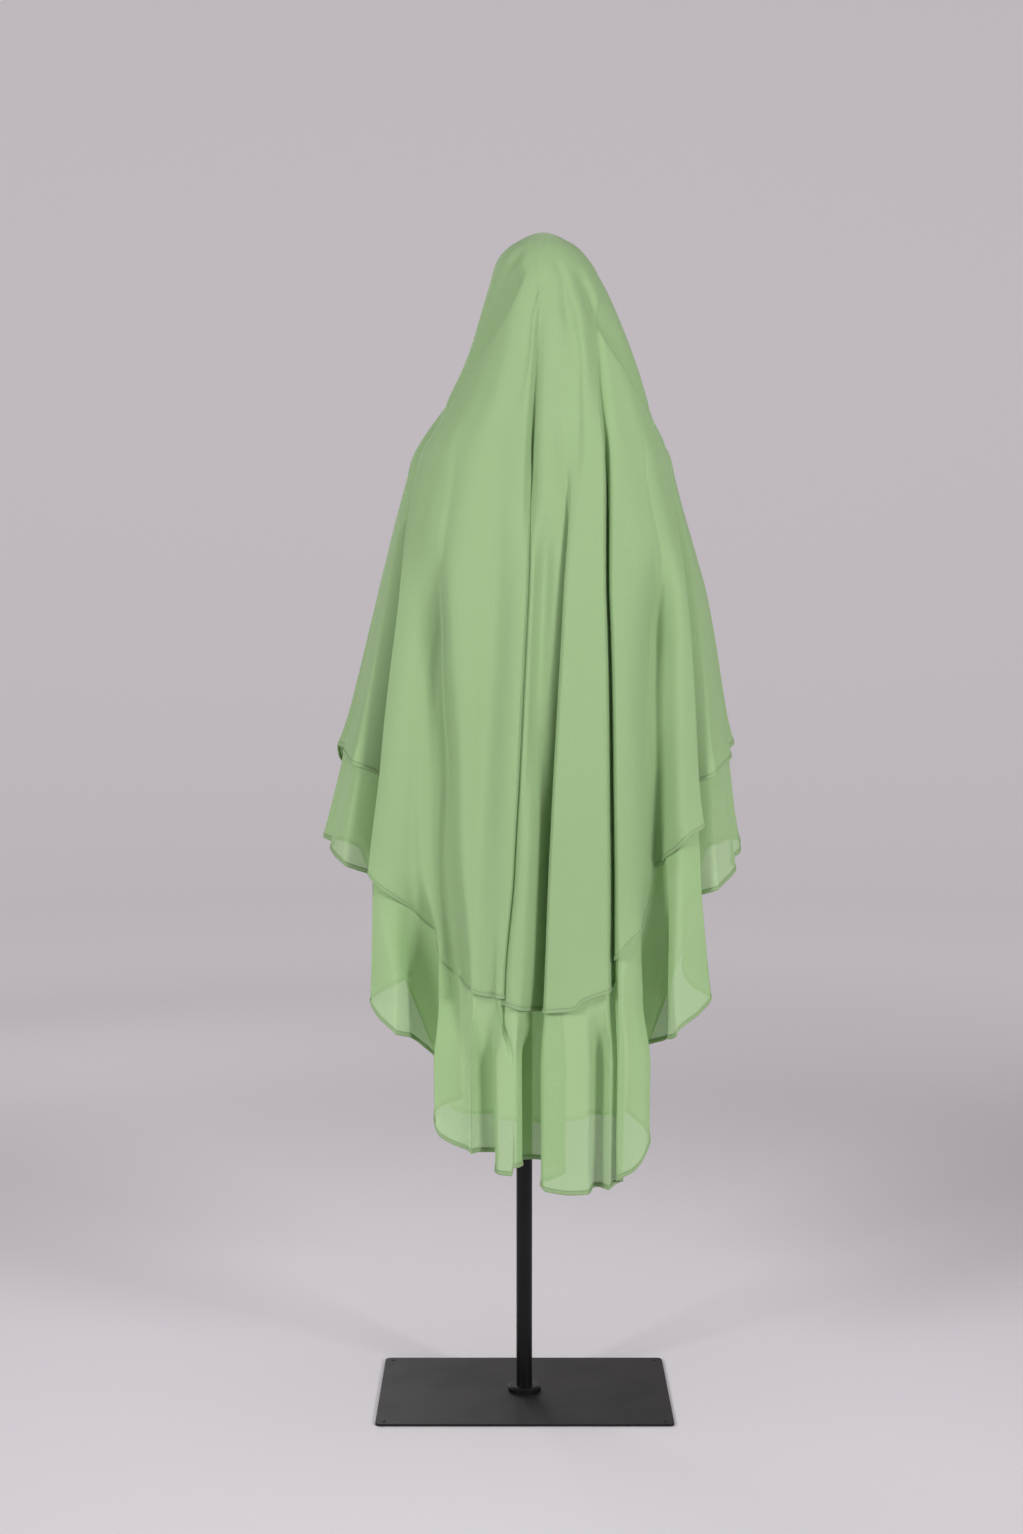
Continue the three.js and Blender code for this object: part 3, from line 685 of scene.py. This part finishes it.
def gridMesh(name, points, uvs):
    # A grid of columns by rows, moved to the given points. The front seam is merged.
    rows, columns = points.shape[:2]
    mesh = bmesh.new()
    bmesh.ops.create_grid(mesh, x_segments=columns - 1, y_segments=rows - 1, size=0.5, calc_uvs=False)
    layer = mesh.loops.layers.uv.new("cloth")
    places = {}
    for vertex in mesh.verts:
        i = round((vertex.co.x + 0.5) * (columns - 1))
        j = round((0.5 - vertex.co.y) * (rows - 1))
        places[vertex.index] = (j, i)
    for face in mesh.faces:
        for loop in face.loops:
            loop[layer].uv = uvs[places[loop.vert.index]]
    for vertex in mesh.verts:
        vertex.co = points[places[vertex.index]]
    bmesh.ops.remove_doubles(mesh, verts=mesh.verts, dist=1e-6)
    data = bpy.data.meshes.new(name)
    mesh.to_mesh(data)
    mesh.free()
    data.polygons.foreach_set("use_smooth", [True] * len(data.polygons))
    made = bpy.data.objects.new(name, data)
    scene.collection.objects.link(made)
    return made


def dress(piece, material, node):
    # A piece's material, body and slot, and the CAD node that it stands for
    piece.data.materials.append(material)
    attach(piece, "root")
    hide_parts(node)
    return piece


outerInset = 0.0005  # how far the upper cloth lies inside the draped form


def layerPoints(layer, depth):
    # The cloth's places and outward directions, from the face opening to the end of its hem
    columns = spreadColumns(clothMesh["columns"])
    shares = gridRows(clothMesh["headRows"], clothMesh["bodyRows"])
    column, share = np.meshgrid(columns, shares)
    length = hemAt[layer](column) + clothMesh["hemWidth"]
    row = np.where(share < 1, share, 1 + (share - 1) * length)
    points = drape(column, row, layer)
    points[:, -1] = points[:, 0]
    outward = normalsOf(points)
    uvs = np.stack([np.radians(column) * clothMesh["turnLength"], row], -1)
    return points - outward * depth, outward, uvs


def makeLayer(name, layer, depth, material, node):
    points, outward, uvs = layerPoints(layer, depth)
    piece = dress(gridMesh(name, points, uvs), material, node)
    faces = piece.data.polygons
    area = sum(face.area for face in faces)
    print(name, "has", len(faces), "faces and", round(area, 3), "square metres")
    return piece, points, outward


def sweepStrip(name, middle, forward, out, outline, node):
    # A closed strip of cloth: outline's (forward, out) corners, carried along a line
    rows = np.stack([middle + forward * reach + out * lift for reach, lift in outline])
    lengths = np.concatenate([[0], np.cumsum(np.linalg.norm(np.diff(middle, axis=0), axis=-1))])
    uvs = np.zeros(rows.shape[:2] + (2,))
    uvs[..., 0] = lengths[None, :]
    uvs[..., 1] = np.array([reach for reach, _ in outline])[:, None]
    print(name, "is", round(lengths[-1], 3), "m long")
    return dress(gridMesh(name, rows, uvs), hemChiffon, node)


hemRoll = {"width": 0.0052, "thick": 0.0011, "roll": 0.0016, "rowsUp": 3}


def makeHem(name, points, outward, node):
    # The turned edge: a flat double fold that ends in a small roll, swept along the cloth's end
    edge, before = points[-1], points[-1 - hemRoll["rowsUp"]]
    down = edge - before
    down /= np.linalg.norm(down, axis=-1, keepdims=True)
    width, thick, roll = hemRoll["width"], hemRoll["thick"], hemRoll["roll"]
    outline = [
        (-width, 0), (-width, thick), (-width * 0.6, thick * 1.1), (-width * 0.3, thick),
        (0, roll), (roll * 0.8, roll * 0.7), (roll * 1.15, 0), (roll * 0.8, -roll * 0.7),
        (0, -roll), (-width * 0.3, -thick), (-width * 0.6, -thick * 1.1), (-width, -thick),
        (-width, 0),
    ]
    return sweepStrip(name, edge, down, outward[-1], outline, node)


# One cloth in three copies: the outer layer is painted a little darker, the inner one a little lighter
# and the turned hem darker still, as painted shade and light
outerChiffon = makeChiffon("outerChiffon", 0.08, 0.965)
innerChiffon = makeChiffon("innerChiffon", 0.17, 1.015)
hemChiffon = makeChiffon("hemChiffon", 0.03, 0.93, stitches=True)

outerCloth, outerPoints, outerOut = makeLayer(
    "outerCloth", "outer", outerInset, outerChiffon, "outer_layer"
)
innerInset = outerInset + clothMesh["innerGap"]
innerCloth, innerPoints, innerOut = makeLayer(
    "innerCloth", "inner", innerInset, innerChiffon, "inner_layer"
)
outerHem = makeHem("outerHem", outerPoints, outerOut, "outer_hem")
innerHem = makeHem("innerHem", innerPoints, innerOut, "inner_hem")

faceBinding = {"width": 0.0095, "thick": 0.0026}


def makeBinding():
    # The strip round the face opening that folds over both layers
    edge, inside = outerPoints[0], outerPoints[1]
    back = edge - inside
    back /= np.linalg.norm(back, axis=-1, keepdims=True)
    middle = edge - outerOut[0] * clothMesh["innerGap"] / 2
    width, thick = faceBinding["width"], faceBinding["thick"]
    outline = [
        (0, 0), (0, thick), (width * 0.5, thick * 1.15), (width * 0.92, thick * 0.8), (width, 0),
        (width * 0.92, -thick * 0.8), (width * 0.5, -thick * 1.15), (0, -thick), (0, 0),
    ]
    return sweepStrip("faceStrip", middle, back, outerOut[0], outline[::-1], "face_binding")


faceStrip = makeBinding()

platePaint = makePaint("platePaint", paint["plate"])
polePaint = makePaint("polePaint", paint["pole"])
for node in ("base_plate", "pole", "collar", *[f"corner_stud_{i}" for i in (1, 2, 3, 4)]):
    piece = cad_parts[node]
    coat = platePaint if node == "base_plate" else polePaint
    if piece.material_slots:
        for place in piece.material_slots:
            place.material = coat
    else:
        piece.data.materials.append(coat)
print("the stand is painted")

studio = {
    # The floor and backdrop are one paper: floor is its colour painted in a pool of light round the
    # stand, backdrop its colour painted in shade further out
    "floor": (230, 224, 230),
    "backdrop": (186, 180, 185),
    "glow": (161, 156, 160),  # light that the backdrop gives by itself, where no lamp reaches it
    "rough": 0.9,
    "gloss": 0.1,
    "floorRadius": 5.4,
    "wallRadius": 8.6,
    "wallHeight": 9.0,
    "bend": 2.6,
    "paleTo": 0.5,  # painted pool of light: the floor is palest round the stand, and as dark as the backdrop from darkFrom on
    "darkFrom": 2.4,
    "glowFrom": 0.1,
    "glowFull": 4.7,
    "world": (0.74, 0.72, 0.74),
    "worldStrength": 0.26,
}


def studioPaper():
    material, wires = newMaterial("studioPaper")
    place = wires.node("ShaderNodeTexCoord", None, None, 3)
    reach = wires.node("ShaderNodeVectorMath", {"operation": "LENGTH"}, {0: place}, 1)

    def between(start, end):
        return wires.node(
            "ShaderNodeMapRange", {"interpolation_type": "SMOOTHSTEP"},
            {"Value": reach, "From Min": studio[start], "From Max": studio[end]},
        )

    # Painted pool of light: the paper goes from the pale floor colour round the stand to the darker
    # backdrop colour by its distance from the pole
    darker = between("paleTo", "darkFrom")
    colour = mixColour(wires, darker, linear(studio["floor"]), linear(studio["backdrop"]))
    glow = mixColour(wires, between("glowFrom", "glowFull"), (0, 0, 0, 1), linear(studio["glow"]))
    paper = wires.node(
        "ShaderNodeBsdfPrincipled", None,
        {"Base Color": colour, "Roughness": studio["rough"], "Specular IOR Level": studio["gloss"],
         "Emission Color": glow, "Emission Strength": 1.0},
    )
    wires.node("ShaderNodeOutputMaterial", None, {0: paper})
    return material


def spinStage(name, outline, material):
    # A surface turned about the pole's axis from (radius, height) corners
    mesh = bmesh.new()
    corners = [mesh.verts.new((radius, 0, height)) for radius, height in outline]
    edges = [mesh.edges.new(pair) for pair in zip(corners, corners[1:])]
    bmesh.ops.spin(mesh, geom=corners + edges, cent=(0, 0, 0), axis=(0, 0, 1), angle=2 * math.pi,
                   steps=96, use_merge=True)
    bmesh.ops.remove_doubles(mesh, verts=mesh.verts, dist=1e-5)
    bmesh.ops.recalc_face_normals(mesh, faces=mesh.faces)
    data = bpy.data.meshes.new(name)
    mesh.to_mesh(data)
    mesh.free()
    data.polygons.foreach_set("use_smooth", [True] * len(data.polygons))
    data.materials.append(material)
    made = bpy.data.objects.new(name, data)
    scene.collection.objects.link(made)
    return made


def makeStage():
    # A round studio: the paper runs from the floor up into a wall on every side
    paper = studioPaper()
    rim, wall, bend = studio["floorRadius"], studio["wallRadius"], studio["bend"]
    spinStage("studioFloor", [(0.0, 0), (1.2, 0), (rim, 0)], paper)
    turns = [math.radians(9 * i) for i in range(11)]
    sweep = [(wall - bend + bend * math.sin(t), bend - bend * math.cos(t)) for t in turns]
    backdrop = spinStage("studioWall", [(rim, 0), *sweep, (wall, studio["wallHeight"])], paper)
    backdrop.visible_diffuse = False
    backdrop.visible_shadow = False
    backdrop.visible_transmission = False


lampNames = ("name", "place", "aim", "side", "power", "spread")  # power in W, spread in degrees
lamps = [
    ("keyLamp", (-2.95, -3.2, 2.3), (0, 0, 1.55), 1.2, 57, 120),
    ("fillLamp", (3.05, -3.1, 2.1), (0, 0, 1.5), 1.2, 60, 120),
    ("backLamp", (-1.6, 3.4, 2.2), (0, 0, 1.0), 2.0, 24, 120),
    ("topLamp", (0.4, -0.4, 4.6), (0, 0, 1.0), 2.4, 12, 180),
]


def addLamp(lamp):
    # A square soft box that looks at its aim
    data = bpy.data.lights.new(lamp["name"], "AREA")
    data.shape = "RECTANGLE"
    data.size = data.size_y = lamp["side"]
    data.energy = lamp["power"]
    data.spread = math.radians(lamp["spread"])
    holder = bpy.data.objects.new(lamp["name"], data)
    towards = Vector(lamp["aim"]) - Vector(lamp["place"])
    holder.location = lamp["place"]
    holder.rotation_euler = towards.to_track_quat("-Z", "Y").to_euler()
    scene.collection.objects.link(holder)


def setWorld():
    world = bpy.data.worlds.new("studio")
    world.use_nodes = True
    back = world.node_tree.nodes["Background"]
    back.inputs["Color"].default_value = (*studio["world"], 1)
    back.inputs["Strength"].default_value = studio["worldStrength"]
    scene.world = world


makeStage()
setWorld()
for row in lamps:
    addLamp(dict(zip(lampNames, row)))
print("studio and", len(lamps), "lamps are in place")
